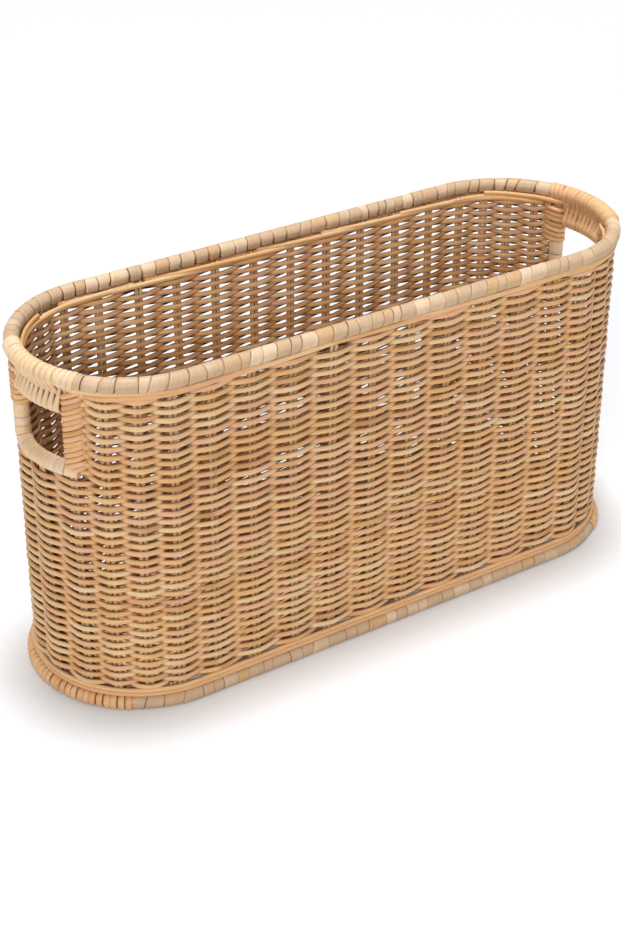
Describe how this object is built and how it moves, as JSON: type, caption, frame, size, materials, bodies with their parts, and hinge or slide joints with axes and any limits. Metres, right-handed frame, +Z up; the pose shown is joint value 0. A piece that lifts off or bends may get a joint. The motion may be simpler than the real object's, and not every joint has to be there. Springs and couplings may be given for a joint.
{
  "type": "toilet roll storage basket",
  "caption": "Long wicker basket with rounded ends, a bound rim and foot and a hand hole woven into each end, for storing toilet rolls.",
  "frame": {"origin": "middle of the basket's underside, on the plane that it stands on", "axes": "+X along the basket towards its far end, +Y towards its back, +Z up"},
  "size_m": [0.4624, 0.157, 0.2431],
  "materials": {
    "weaver_cane": "satin",
    "stake_cane": "satin",
    "rattan_rod": "matte",
    "peel_binding": "satin"
  },
  "bodies": {
    "root": {"foot_hoop": "rattan_rod", "foot_strands": "weaver_cane", "foot_peel_front": "peel_binding", "foot_peel_back": "peel_binding", "foot_lashing_near": "weaver_cane", "foot_lashing_far": "weaver_cane", "floor_hoop": "rattan_rod", "floor_sticks": "stake_cane", "floor_weave": "weaver_cane", "stakes_front": "stake_cane", "stakes_back": "stake_cane", "stakes_near": "stake_cane", "stakes_far": "stake_cane", "weave_band_1": "weaver_cane", "weave_band_2": "weaver_cane", "weave_band_3": "weaver_cane", "weave_band_4": "weaver_cane", "weave_upper_front": "weaver_cane", "weave_upper_back": "weaver_cane", "rim_hoop": "rattan_rod", "rim_strand_outer": "weaver_cane", "rim_strand_inner": "weaver_cane", "rim_peel_front": "peel_binding", "rim_peel_back": "peel_binding", "near_grip_rod": "rattan_rod", "near_grip_lashing": "weaver_cane", "near_sill_rod": "rattan_rod", "near_sill_peel": "peel_binding", "near_front_post": "weaver_cane", "near_back_post": "weaver_cane", "far_grip_rod": "rattan_rod", "far_grip_lashing": "weaver_cane", "far_sill_rod": "rattan_rod", "far_sill_peel": "peel_binding", "far_front_post": "weaver_cane", "far_back_post": "weaver_cane"}
  },
  "joints": []
}
